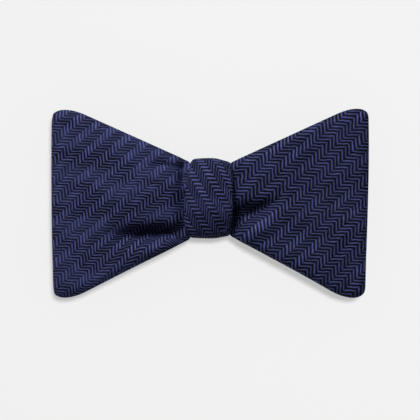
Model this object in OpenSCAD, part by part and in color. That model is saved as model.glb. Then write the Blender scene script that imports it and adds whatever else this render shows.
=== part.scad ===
// Pre-tied bow tie, lying on its back with the neck strap folded behind the bow.
// +X runs towards the viewer's right wing, +Y towards its top edge and +Z out of its front.
// The origin is under the middle of the bow, on the surface that it lies on.

/* [Bow] */
// Distance from the middle of the bow to the tip of each wing
wing_reach = 60; // [48:1:80]
// Height of each wing at its tip
tip_height = 71; // [55:1:90]
// Height of the front wings where they leave the knot
waist_height = 31.2; // [26:0.1:34]
// Radius of the corners at the wing tips
tip_corner = 7; // [3:0.1:9]
// How far the rear wings stay inside the outline of the front ones
rear_inset = 1.3; // [0.6:0.1:3]
// Thickness of a wing layer: two faces of silk and the interlining
layer_thick = 1.4; // [1:0.1:1.8]
// Opening between the two layers of a folded wing at its tip
loop_opening = 2.6; // [2:0.1:3.2]

/* [Knot] */
// Width of the knot across the bow
knot_width = 18.6; // [14:0.1:26]
// Height of the knot
knot_height = 30.1; // [24:0.1:38]
// Height of the middle of the knot above the middle of the wings
knot_lift = 1.85; // [0:0.05:4]
// Depth of the knot from its front to its back
knot_depth = 15.3; // [14.6:0.1:20]
// Radius of the knot's front corners, seen from the side
knot_front_radius = 7; // [4:0.5:7]
// Radius of the knot's back corners, seen from the side
knot_back_radius = 4; // [2:0.5:5]
// Thickness of the band of silk that is wrapped round the knot
wrap_thick = 1.2; // [0.9:0.1:1.6]

/* [Neck strap] */
// Width of the strap
strap_width = 16; // [12:0.5:19]
// Thickness of the strap
strap_thick = 1; // [0.8:0.05:1.3]
// Distance from the middle of the bow to the folds at the right
right_fold_at = 53; // [44:1:54]
// Distance from the middle of the bow to the fold at the left
left_fold_at = 32; // [26:1:33]
// Distance from the middle of the bow to the bar of the eye
eye_bar_at = 46; // [44:1:47]
// Distance from the middle of the bow to the bar of the hook
hook_bar_at = 14; // [8:1:16]
// Distance from the middle of the bow to the centre bar of the slide
slide_at = 36; // [30:1:40]
// Length of the strap's turned-in end behind the eye
eye_turn_in = 10; // [6:0.5:11]

/* [Cloth] */
// Thickness of the silk
silk_thick = 0.3; // [0.2:0.05:0.35]
// Width of the seam allowance beside the interlining
seam_width = 0.8; // [0.5:0.1:2]

/* [Hardware] */
// Radius of the round bars that the strap turns on
bar_radius = 0.6; // [0.4:0.05:0.8]
// Thickness of the stamped metal
metal_thick = 1; // [0.8:0.05:1.2]
// Width of the rails beside the strap
rail_width = 1.6; // [1.2:0.1:2.4]
// Distance from the slide's centre bar to each outer bar
slide_half = 5; // [4:0.1:6]
// Width of the tongue of the hook
tongue_width = 6; // [4:0.5:8]
// Length of the hook from its bar to its bend
hook_length = 13; // [11:0.5:15]
// Length of the hook's lip
lip_length = 6; // [4:0.5:7]
// Length of the eye from its bar to its end
eye_length = 12; // [11.5:0.5:13]
// Length of the eye's window along the strap
window_length = 5.2; // [4.8:0.1:5.4]
// Width of the eye's window across the strap
window_width = 10; // [8:0.5:12]

/* [Stitching] */
// Radius of the sewing thread
thread_radius = 0.15; // [0.1:0.05:0.18]
// Number of stitches that close the knot at the back
knot_stitch_count = 7; // [3:2:11]
// Number of stitches in each tack on the strap
tack_count = 5; // [3:1:7]

/* [Hidden] */

silk_colour = [0.13, 0.14, 0.27];
interlining_colour = [0.82, 0.8, 0.74];
metal_colour = [0.78, 0.78, 0.8];
thread_colour = [0.08, 0.09, 0.2];

arc_steps = 8;      // straight pieces in a rounded corner
curve_steps = 16;   // straight pieces in a wing's curve
ease = 0.05;        // cloth round a bar
slip = 0.02;        // interlining inside its silk
gap = 0.3;          // between pieces that move past each other
over = 1;           // how far a cut runs past what it cuts

// Heights, from the surface that the bow lies on.
bend_radius = 1.1;                              // middle of the metal in the hook's bend
lip_z = metal_thick / 2;
hook_z = lip_z + 2 * bend_radius;
turn_radius = bar_radius + ease + strap_thick / 2;
run_4_z = hook_z - turn_radius;
return_z = hook_z + turn_radius;
run_3_z = return_z + turn_radius + strap_thick + 0.3;
run_2_z = run_3_z + strap_thick + 0.5;
knot_back_z = run_2_z + strap_thick / 2 + 0.4;
run_1_z = knot_back_z + wrap_thick + 0.2 + strap_thick / 2;
eye_z = run_1_z - turn_radius;
eye_return_z = eye_z - turn_radius;
rear_z = run_1_z + strap_thick / 2 + 0.4 + layer_thick / 2;   // lowest wing layer
knot_front_z = knot_back_z + knot_depth;
split_z = rear_z + layer_thick / 2 + 3.9;       // between the two blades in the knot

wing_start = knot_width / 2 + 1.3;              // where the moving wings begin
wing_hinge_z = knot_front_z - 3;
waist_lift = 0.65 * knot_lift;                  // middle of the wings beside the knot
front_root_z = wing_hinge_z - layer_thick / 2 + 0.2;
loop_radius = (loop_opening + layer_thick) / 2; // middle of the layer in a wing's fold
rail_y = strap_width / 2 + gap + rail_width / 2;
hook_x = -hook_bar_at;
eye_x = -eye_bar_at;

// ---------- plane geometry ----------

function unit(v) = v / norm(v);
function left_of(v) = [-v[1], v[0]];
function meet(p, u, q, v) = p + u * cross(q - p, v) / cross(u, v);

// Corner i of the outline, moved inwards by d.
function inset_corner(outline, i, d) =
    let (n = len(outline), b = outline[i],
         u = unit(b - outline[(i + n - 1) % n]), v = unit(outline[(i + 1) % n] - b))
    meet(b + d * left_of(u), u, b + d * left_of(v), v);

// Points of a round corner of radius r in place of corner i.
function round_corner(outline, i, r) =
    let (n = len(outline), b = outline[i],
         u = unit(b - outline[(i + n - 1) % n]), v = unit(outline[(i + 1) % n] - b),
         turn = atan2(cross(u, v), u * v),
         centre = b - r * tan(turn / 2) * u + r * left_of(u),
         from = atan2(u[1], u[0]) - 90)
    [for (k = [0:arc_steps]) centre + r * [cos(from + turn * k / arc_steps),
                                           sin(from + turn * k / arc_steps)]];

// An anticlockwise outline, inset by d, with a radius at each corner.
function rounded(outline, radii, d = 0) =
    let (moved = [for (i = [0:len(outline) - 1]) inset_corner(outline, i, d)])
    [for (i = [0:len(moved) - 1])
        each (radii[i] > d ? round_corner(moved, i, radii[i] - d) : [moved[i]])];

function bezier(a, b, c, d) =
    [for (k = [0:curve_steps])
        let (t = k / curve_steps, s = 1 - t)
        s * s * s * a + 3 * s * s * t * b + 3 * s * t * t * c + t * t * t * d];

function direction(path, i) =
    unit(path[min(i + 1, len(path) - 1)] - path[max(i - 1, 0)]);

// Outline of a strip of that thickness along a path.
function strip(path, thick) =
    concat([for (i = [0:len(path) - 1]) path[i] + left_of(direction(path, i)) * thick / 2],
           [for (i = [len(path) - 1:-1:0])
               path[i] - left_of(direction(path, i)) * thick / 2]);

// ---------- wings ----------

// Height at which an edge that leaves the knot at waist has to meet the tip, so that the round
// corner between them just reaches half of tip_height.
function tip_meeting(waist, reach, guess = tip_height / 2, tries = 6) =
    let (slope = (guess - waist) / (reach - wing_start),
         height = tip_height / 2 + tip_corner * (slope + norm([1, slope]) - 1))
    tries == 0 ? height : tip_meeting(waist, reach, height, tries - 1);

// Outline of a left wing seen from the front, in x and y.
function wing_outline(reach) =
    let (above = waist_height / 2 + waist_lift, below = waist_height / 2 - waist_lift)
    [[-wing_start, above], [-reach, tip_meeting(above, reach)],
     [-reach, -tip_meeting(below, reach)], [-wing_start, -below]];

// Paths of the layers in distance from the middle of the bow and height.
function single_path(root_z, rise, tip_z, reach) =
    bezier([wing_start, root_z], [wing_start + reach * 0.28, root_z + rise],
           [reach * 0.75, tip_z + rise * 0.7], [reach, tip_z]);

function loop_path(root_z, back_root_z, rise, fold_z, reach) =
    let (x = reach - loop_radius - layer_thick / 2,
         front = bezier([wing_start, root_z], [wing_start + reach * 0.28, root_z + rise],
                        [reach * 0.75, fold_z + loop_radius + rise * 0.7],
                        [x, fold_z + loop_radius]),
         back = bezier([x, fold_z - loop_radius], [reach * 0.75, fold_z - loop_radius],
                       [wing_start + reach * 0.28, fold_z - loop_radius + 0.4],
                       [wing_start, back_root_z]))
    concat(front, [for (k = [1:arc_steps - 1])
                      [x, fold_z] + loop_radius * [sin(180 * k / arc_steps),
                                                   cos(180 * k / arc_steps)]], back);

left_loop_path = loop_path(front_root_z, front_root_z - 2.9, 2.2,
                           rear_z + layer_thick + 1 + loop_radius, wing_reach);
left_tail_path = single_path(rear_z + 2, -0.9, rear_z, wing_reach - rear_inset);
right_tail_path = single_path(front_root_z, 1.6, rear_z + 6.4, wing_reach);
right_loop_path = loop_path(rear_z + 4.7, rear_z + 1.8, 0.8, rear_z + loop_radius,
                            wing_reach - rear_inset);

// A strip along a path, cut to the outline of a left wing.
module left_layer(path, inset, thick) {
    intersection() {
        translate([0, tip_height, 0]) rotate([90, 0, 0])
            linear_extrude(2 * tip_height) mirror([1, 0]) polygon(strip(path, thick));
        linear_extrude(knot_front_z + over)
            polygon(rounded(wing_outline(wing_reach), [0, tip_corner, tip_corner, 0], inset));
    }
}

module left_shell(path, inset) {
    difference() {
        left_layer(path, inset, layer_thick);
        left_layer(path, inset + seam_width, layer_thick - 2 * silk_thick);
    }
}

module left_filling(path, inset) {
    left_layer(path, inset + seam_width + slip, layer_thick - 2 * silk_thick - 2 * slip);
}

module left_loop() {
    color(silk_colour) left_shell(left_loop_path, 0);
}

module left_loop_interlining() {
    color(interlining_colour) left_filling(left_loop_path, 0);
}

module left_tail() {
    color(silk_colour) left_shell(left_tail_path, rear_inset);
}

module left_tail_interlining() {
    color(interlining_colour) left_filling(left_tail_path, rear_inset);
}

module right_tail() {
    color(silk_colour) mirror([1, 0, 0]) left_shell(right_tail_path, 0);
}

module right_tail_interlining() {
    color(interlining_colour) mirror([1, 0, 0]) left_filling(right_tail_path, 0);
}

module right_loop() {
    color(silk_colour) mirror([1, 0, 0]) left_shell(right_loop_path, rear_inset);
}

module right_loop_interlining() {
    color(interlining_colour) mirror([1, 0, 0]) left_filling(right_loop_path, rear_inset);
}

// ---------- knot ----------

// Section of the knot in y and z, inset by d.
function knot_section(d) =
    let (low = knot_lift - knot_height / 2, high = knot_lift + knot_height / 2)
    rounded([[low, knot_back_z], [high, knot_back_z], [high, knot_front_z],
             [low, knot_front_z]],
            [knot_back_radius, knot_back_radius, knot_front_radius, knot_front_radius], d);

module knot_prism(d, width) {
    translate([-width / 2, 0, 0]) rotate([90, 0, 90])
        linear_extrude(width) polygon(knot_section(d));
}

module knot_ring(outer, inner, width) {
    difference() {
        knot_prism(outer, width);
        knot_prism(inner, width + 2 * over);
    }
}

module knot_wrap() {
    color(silk_colour) difference() {
        knot_ring(0, wrap_thick, knot_width);
        knot_ring(silk_thick, wrap_thick - silk_thick, knot_width - 2 * seam_width);
    }
}

module knot_wrap_interlining() {
    color(interlining_colour)
        knot_ring(silk_thick + slip, wrap_thick - silk_thick - slip,
                  knot_width - 2 * seam_width - 2 * slip);
}

// The part of a blade that is gathered inside the knot, between two heights.
module blade_centre(low, high) {
    color(silk_colour) intersection() {
        knot_prism(wrap_thick + 0.2, knot_width + 0.6);
        translate([-knot_width, -knot_height, low])
            cube([2 * knot_width, 3 * knot_height, high - low]);
    }
}

module front_blade_centre() {
    blade_centre(split_z + 0.15, knot_front_z);
}

module rear_blade_centre() {
    blade_centre(run_1_z + strap_thick / 2 + 0.2, split_z - 0.15);
}

// A stitch that lies on a face below it, at a slant.
module stitch(long, slant) {
    rotate([0, 0, slant]) rotate([0, 90, 0])
        cylinder(h = long, r = thread_radius, center = true, $fn = 16);
}

module knot_stitches() {
    pitch = (knot_width - 6) / (knot_stitch_count - 1);
    color(thread_colour) for (i = [0:knot_stitch_count - 1])
        translate([(i - (knot_stitch_count - 1) / 2) * pitch, knot_lift,
                   knot_back_z - thread_radius])
            stitch(3, 60);
}

// ---------- neck strap ----------

module strap_layer(low_x, high_x, z, inset, thick) {
    translate([low_x, knot_lift - strap_width / 2 + inset, z - thick / 2])
        cube([high_x - low_x, strap_width - 2 * inset, thick]);
}

module strap_run(low_x, high_x, z) {
    color(silk_colour) difference() {
        strap_layer(low_x, high_x, z, 0, strap_thick);
        strap_layer(low_x - over, high_x + over, z, seam_width,
                    strap_thick - 2 * silk_thick);
    }
}

module strap_filling(low_x, high_x, z) {
    color(interlining_colour)
        strap_layer(low_x, high_x, z, seam_width + slip,
                    strap_thick - 2 * silk_thick - 2 * slip);
}

// A half turn of the strap at x, z, on the side that side (1 or -1) points to.
module strap_turn(x, z, radius, side) {
    color(silk_colour) translate([x, knot_lift + strap_width / 2, z]) rotate([90, 0, 0])
        linear_extrude(strap_width) intersection() {
            difference() {
                circle(r = radius + strap_thick / 2, $fn = 48);
                circle(r = radius - strap_thick / 2, $fn = 48);
            }
            translate([side > 0 ? 0 : -3 * radius, -3 * radius])
                square([3 * radius, 6 * radius]);
        }
}

module strap_run_1() {
    strap_run(eye_x, right_fold_at, run_1_z);
}

module strap_run_1_interlining() {
    strap_filling(eye_x, right_fold_at, run_1_z);
}

module strap_fold_1() {
    strap_turn(right_fold_at, (run_1_z + run_2_z) / 2, (run_1_z - run_2_z) / 2, 1);
}

module strap_run_2() {
    strap_run(-left_fold_at, right_fold_at, run_2_z);
}

module strap_run_2_interlining() {
    strap_filling(-left_fold_at, right_fold_at, run_2_z);
}

module strap_fold_2() {
    strap_turn(-left_fold_at, (run_2_z + run_3_z) / 2, (run_2_z - run_3_z) / 2, -1);
}

module strap_run_3() {
    strap_run(-left_fold_at, right_fold_at, run_3_z);
}

module strap_run_3_interlining() {
    strap_filling(-left_fold_at, right_fold_at, run_3_z);
}

module strap_fold_3() {
    strap_turn(right_fold_at, (run_3_z + run_4_z) / 2, (run_3_z - run_4_z) / 2, 1);
}

module strap_run_4() {
    strap_run(hook_x, right_fold_at, run_4_z);
}

module strap_run_4_interlining() {
    strap_filling(hook_x, right_fold_at, run_4_z);
}

module strap_end_turn() {
    strap_turn(hook_x, hook_z, turn_radius, -1);
}

// The layer that comes back from the hook, and its loop round the slide's centre bar.
module strap_return() {
    outer = turn_radius + strap_thick / 2;
    color(silk_colour) difference() {
        union() {
            strap_layer(hook_x, slide_at, return_z, 0, strap_thick);
            translate([slide_at, knot_lift + strap_width / 2, return_z])
                rotate([90, 0, 0]) cylinder(h = strap_width, r = outer, $fn = 48);
        }
        translate([slide_at, knot_lift + strap_width / 2 + over, return_z])
            rotate([90, 0, 0])
                cylinder(h = strap_width + 2 * over, r = bar_radius + ease, $fn = 48);
    }
}

// The strap's end, turned round the bar of the eye and back under the strap.
module eye_turn() {
    strap_turn(eye_x, eye_z, turn_radius, -1);
    color(silk_colour)
        strap_layer(eye_x, eye_x + eye_turn_in, eye_return_z, 0, strap_thick);
}

module tack(x, z) {
    pitch = (strap_width - 4) / (tack_count - 1);
    color(thread_colour) for (i = [0:tack_count - 1])
        translate([x, knot_lift + (i - (tack_count - 1) / 2) * pitch, z])
            stitch(2.2, 35);
}

module eye_tack() {
    tack(eye_x + eye_turn_in - 2, eye_return_z - strap_thick / 2 - thread_radius);
}

module slide_tack() {
    tack(slide_at - turn_radius - strap_thick - 2,
         return_z + strap_thick / 2 + thread_radius);
}

// ---------- hardware ----------

// A flat bar of rectangular section along y.
module flat_bar(x, z, width, span) {
    translate([x - width / 2, knot_lift - span / 2, z - metal_thick / 2])
        cube([width, span, metal_thick]);
}

module round_bar(x, z) {
    translate([x, knot_lift + rail_y, z]) rotate([90, 0, 0])
        cylinder(h = 2 * rail_y, r = bar_radius, $fn = 48);
}

module at_both_rails() {
    for (side = [-1, 1]) translate([0, knot_lift + side * rail_y, 0]) children();
}

module slide_adjuster() {
    outer_z = run_4_z - strap_thick / 2 - 0.05 - metal_thick / 2;
    span = 2 * rail_y + rail_width;
    rise = return_z - outer_z;
    color(metal_colour) {
        for (side = [-1, 1])
            flat_bar(slide_at + side * slide_half, outer_z, rail_width, span);
        round_bar(slide_at, return_z);
        at_both_rails() translate([slide_at, rail_width / 2, outer_z]) rotate([90, 0, 0])
            linear_extrude(rail_width) polygon([
                [-slide_half - rail_width / 2, -metal_thick / 2],
                [-slide_half + rail_width / 2, -metal_thick / 2],
                [0, rise - metal_thick], [slide_half - rail_width / 2, -metal_thick / 2],
                [slide_half + rail_width / 2, -metal_thick / 2],
                [slide_half + rail_width / 2, metal_thick / 2],
                [1, rise + metal_thick * 0.8], [-1, rise + metal_thick * 0.8],
                [-slide_half - rail_width / 2, metal_thick / 2]]);
    }
}

module hook() {
    turn_reach = turn_radius + strap_thick / 2 + gap;
    bend_x = hook_x - hook_length;
    cross_width = 3.4;
    tongue_low = knot_lift - tongue_width / 2;
    color(metal_colour) {
        round_bar(hook_x, hook_z);
        at_both_rails()
            translate([hook_x - turn_reach - cross_width, -rail_width / 2,
                       hook_z - metal_thick / 2])
                cube([turn_reach + cross_width + bar_radius, rail_width, metal_thick]);
        flat_bar(hook_x - turn_reach - cross_width / 2, hook_z, cross_width,
                 2 * rail_y + rail_width);
        translate([bend_x, tongue_low, hook_z - metal_thick / 2])
            cube([hook_length - turn_reach, tongue_width, metal_thick]);
        translate([bend_x, tongue_low, lip_z - metal_thick / 2])
            cube([lip_length, tongue_width, metal_thick]);
        translate([bend_x, tongue_low + tongue_width, lip_z + bend_radius])
            rotate([90, 0, 0]) linear_extrude(tongue_width) intersection() {
                difference() {
                    circle(r = bend_radius + metal_thick / 2, $fn = 48);
                    circle(r = bend_radius - metal_thick / 2, $fn = 48);
                }
                translate([-3 * bend_radius, -3 * bend_radius])
                    square([3 * bend_radius, 6 * bend_radius]);
            }
    }
}

module eye() {
    turn_reach = turn_radius + strap_thick / 2 + gap;
    plate_high = eye_x - turn_reach;
    plate_low = eye_x - eye_length;
    window_x = (plate_high + plate_low) / 2;
    span = 2 * rail_y + rail_width;
    color(metal_colour) {
        round_bar(eye_x, eye_z);
        at_both_rails()
            translate([plate_high - over, -rail_width / 2, eye_z - metal_thick / 2])
                cube([turn_reach + bar_radius + over, rail_width, metal_thick]);
        difference() {
            translate([plate_low, knot_lift - span / 2, eye_z - metal_thick / 2])
                cube([plate_high - plate_low, span, metal_thick]);
            translate([window_x - window_length / 2, knot_lift - window_width / 2,
                       eye_z - metal_thick])
                cube([window_length, window_width, 2 * metal_thick]);
        }
    }
}

knot_wrap();
knot_wrap_interlining();
knot_stitches();
front_blade_centre();
rear_blade_centre();
left_loop();
left_loop_interlining();
left_tail();
left_tail_interlining();
right_tail();
right_tail_interlining();
right_loop();
right_loop_interlining();
strap_run_1();
strap_run_1_interlining();
strap_fold_1();
strap_run_2();
strap_run_2_interlining();
strap_fold_2();
strap_run_3();
strap_run_3_interlining();
strap_fold_3();
strap_run_4();
strap_run_4_interlining();
strap_end_turn();
strap_return();
slide_adjuster();
slide_tack();
hook();
eye();
eye_turn();
eye_tack();
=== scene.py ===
"""Looks of a ready-tied bow tie: herringbone silk wings, knot and neck strap, and plated hardware.

The script works in millimetres, and turns them into metres where it places a vertex. A wing's plan
is measured as (d, y): d is the distance from the middle of the bow, on either side, and y the
height in the plan.
"""

import logging
import math
from collections.abc import Callable, Iterable, Sequence
from dataclasses import dataclass, field
from enum import Enum

import bmesh
import bpy
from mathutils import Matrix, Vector, noise


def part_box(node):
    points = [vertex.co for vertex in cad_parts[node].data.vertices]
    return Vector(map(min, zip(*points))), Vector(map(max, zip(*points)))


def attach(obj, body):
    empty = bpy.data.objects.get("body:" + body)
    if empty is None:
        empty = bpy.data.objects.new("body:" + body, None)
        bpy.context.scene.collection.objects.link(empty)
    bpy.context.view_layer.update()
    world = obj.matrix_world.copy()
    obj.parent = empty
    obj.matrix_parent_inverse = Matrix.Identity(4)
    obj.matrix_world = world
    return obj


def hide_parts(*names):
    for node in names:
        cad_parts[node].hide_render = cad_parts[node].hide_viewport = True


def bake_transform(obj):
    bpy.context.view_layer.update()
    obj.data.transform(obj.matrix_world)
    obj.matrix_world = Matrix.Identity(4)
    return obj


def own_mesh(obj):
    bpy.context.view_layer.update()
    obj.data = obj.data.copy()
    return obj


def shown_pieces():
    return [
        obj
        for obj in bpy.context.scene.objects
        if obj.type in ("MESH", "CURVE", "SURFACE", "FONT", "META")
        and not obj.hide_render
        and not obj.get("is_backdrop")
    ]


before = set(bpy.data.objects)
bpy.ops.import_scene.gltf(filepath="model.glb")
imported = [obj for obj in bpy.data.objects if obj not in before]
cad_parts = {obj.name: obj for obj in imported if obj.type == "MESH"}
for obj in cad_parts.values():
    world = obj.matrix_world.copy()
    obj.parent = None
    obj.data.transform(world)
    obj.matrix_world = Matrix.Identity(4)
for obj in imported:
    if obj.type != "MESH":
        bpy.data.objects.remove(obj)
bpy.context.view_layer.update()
MM = 0.001
LOG = logging.getLogger("bow_tie")

Plan = tuple[float, float]
Colour = tuple[float, float, float]


# ---------------------------------------------------------------- numbers and curves


def mix(low: float, high: float, share: float) -> float:
    """The value that lies at a share of the way from low to high."""
    return low + (high - low) * share


def smooth(low: float, high: float, value: float) -> float:
    """A soft step from 0 at low to 1 at high."""
    share = min(1.0, max(0.0, (value - low) / (high - low)))
    return share * share * (3 - 2 * share)


def bezier(a: Plan, b: Plan, c: Plan, d: Plan, steps: int = 24) -> list[Plan]:
    """Points along a cubic curve.

    Args:
        a: Where it starts.
        b: The handle at the start.
        c: The handle at the end.
        d: Where it ends.
        steps: How many straight pieces it has.

    Returns:
        The points, both ends included.
    """
    points = []
    for step in range(steps + 1):
        t = step / steps
        weights = ((1 - t) ** 3, 3 * (1 - t) ** 2 * t, 3 * (1 - t) * t * t, t ** 3)
        points.append(tuple(sum(w * p[i] for w, p in zip(weights, (a, b, c, d)))
                            for i in range(2)))
    return points


def arc(centre: Plan, radius: float, start: float, end: float, steps: int = 16) -> list[Plan]:
    """Points along an arc.

    Args:
        centre: The arc's centre.
        radius: Its radius.
        start: The direction of its first point from the centre, in degrees.
        end: The direction of its last point.
        steps: How many straight pieces it has.

    Returns:
        The points, both ends included.
    """
    turns = [math.radians(mix(start, end, step / steps)) for step in range(steps + 1)]
    return [(centre[0] + radius * math.cos(t), centre[1] + radius * math.sin(t)) for t in turns]


class Profile:
    """A curve that a piece of cloth follows, with places along it measured by length."""

    def __init__(self, points: Iterable[Plan]) -> None:
        """Keeps the points and how far along the curve each one is."""
        self.points: list[Vector] = []
        for point in points:
            if not self.points or (Vector(point) - self.points[-1]).length > 1e-4:
                self.points.append(Vector(point))
        self.reached = [0.0]
        for before, after in zip(self.points, self.points[1:]):
            self.reached.append(self.reached[-1] + (after - before).length)

    @property
    def length(self) -> float:
        """The curve's whole length."""
        return self.reached[-1]

    def refined(self, longest: float) -> "Profile":
        """The same curve with more points, so that none is further than longest from the next."""
        points = [self.points[0]]
        for before, after in zip(self.points, self.points[1:]):
            count = max(1, math.ceil((after - before).length / longest))
            points.extend(before.lerp(after, step / count) for step in range(1, count + 1))
        return Profile(points)

    def at(self, distance: float) -> Vector:
        """The place at a distance along the curve."""
        for index in range(1, len(self.points)):
            if distance <= self.reached[index] or index == len(self.points) - 1:
                gone = self.reached[index] - self.reached[index - 1]
                share = (distance - self.reached[index - 1]) / gone
                return self.points[index - 1].lerp(self.points[index], share)
        return self.points[-1]


# ---------------------------------------------------------------- shaders


class Value:
    """A number in a shader. Python's operators on it add Math nodes."""

    def __init__(self, nodes: "Nodes", socket: bpy.types.NodeSocket) -> None:
        """Wraps a socket of the node tree that nodes builds."""
        self.nodes = nodes
        self.socket = socket

    def math(self, operation: str, *others: "Value | float") -> "Value":
        """Adds a Math node with this value as its first input."""
        inputs = {0: self, **{i + 1: other for i, other in enumerate(others)}}
        return self.nodes.value("ShaderNodeMath", {"operation": operation}, inputs)

    def __add__(self, other: "Value | float") -> "Value":
        """This value plus another."""
        return self.math("ADD", other)

    __radd__ = __add__

    def __mul__(self, other: "Value | float") -> "Value":
        """This value times another."""
        return self.math("MULTIPLY", other)

    __rmul__ = __mul__

    def __sub__(self, other: "Value | float") -> "Value":
        """This value less another."""
        return self.math("SUBTRACT", other)

    def __rsub__(self, other: float) -> "Value":
        """A number less this value."""
        return self * -1.0 + other

    def __truediv__(self, other: "Value | float") -> "Value":
        """This value over another."""
        return self.math("DIVIDE", other)

    def fraction(self) -> "Value":
        """The part after the decimal point."""
        return self.math("FRACT")

    def floor(self) -> "Value":
        """The whole number below."""
        return self.math("FLOOR")

    def size(self) -> "Value":
        """The value without its sign."""
        return self.math("ABSOLUTE")

    def sine(self) -> "Value":
        """The sine of an angle in radians."""
        return self.math("SINE")

    def least(self, other: "Value | float") -> "Value":
        """The smaller of two values."""
        return self.math("MINIMUM", other)

    def most(self, other: "Value | float") -> "Value":
        """The larger of two values."""
        return self.math("MAXIMUM", other)

    def over(self, other: "Value | float") -> "Value":
        """1 where this value is larger, and otherwise 0."""
        return self.math("GREATER_THAN", other)

    def step(self, low: float, high: float) -> "Value":
        """A soft step from 0 at low to 1 at high."""
        return self.nodes.value("ShaderNodeMapRange", {"interpolation_type": "SMOOTHSTEP"},
                                {"Value": self, "From Min": low, "From Max": high})


class Nodes:
    """Builds the node tree of a material or of the world."""

    def __init__(self, owner: bpy.types.Material | bpy.types.World) -> None:
        """Empties the owner's node tree."""
        self.owner = owner
        owner.use_nodes = True
        self.tree = owner.node_tree
        self.tree.nodes.clear()

    def add(self, kind: str, settings: dict | None = None,
            inputs: dict | None = None) -> bpy.types.Node:
        """Adds a node.

        Args:
            kind: The node's type.
            settings: What to set on the node itself, before its inputs.
            inputs: Values or links for its sockets, by name or number.

        Returns:
            The new node.
        """
        node = self.tree.nodes.new(kind)
        for key, setting in (settings or {}).items():
            setattr(node, key, setting)
        for key, given in (inputs or {}).items():
            given = given.socket if isinstance(given, Value) else given
            if isinstance(given, bpy.types.NodeSocket):
                self.tree.links.new(given, node.inputs[key])
            else:
                node.inputs[key].default_value = given
        return node

    def value(self, kind: str, settings: dict | None = None, inputs: dict | None = None,
              output: int | str = 0) -> Value:
        """Adds a node and returns one of its outputs as a value."""
        return Value(self, self.add(kind, settings, inputs).outputs[output])

    def shade(self, colour: bpy.types.NodeSocket, by: Value) -> bpy.types.NodeSocket:
        """A colour made lighter or darker by a value."""
        return self.add("ShaderNodeVectorMath", {"operation": "SCALE"},
                        {0: colour, "Scale": by}).outputs[0]

    def between(self, low: Colour | bpy.types.NodeSocket, high: Colour | bpy.types.NodeSocket,
                share: Value) -> bpy.types.NodeSocket:
        """A mix of two colours."""
        low = low if isinstance(low, bpy.types.NodeSocket) else (*low, 1.0)
        high = high if isinstance(high, bpy.types.NodeSocket) else (*high, 1.0)
        return self.add("ShaderNodeMix", {"data_type": "RGBA"},
                        {0: share, 6: low, 7: high}).outputs[2]

    def finish(self, inputs: dict) -> bpy.types.Material:
        """Adds the surface shader and the output, and returns the material."""
        surface = self.add("ShaderNodeBsdfPrincipled", None, inputs)
        self.add("ShaderNodeOutputMaterial", None, {"Surface": surface.outputs[0]})
        return self.owner


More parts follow.
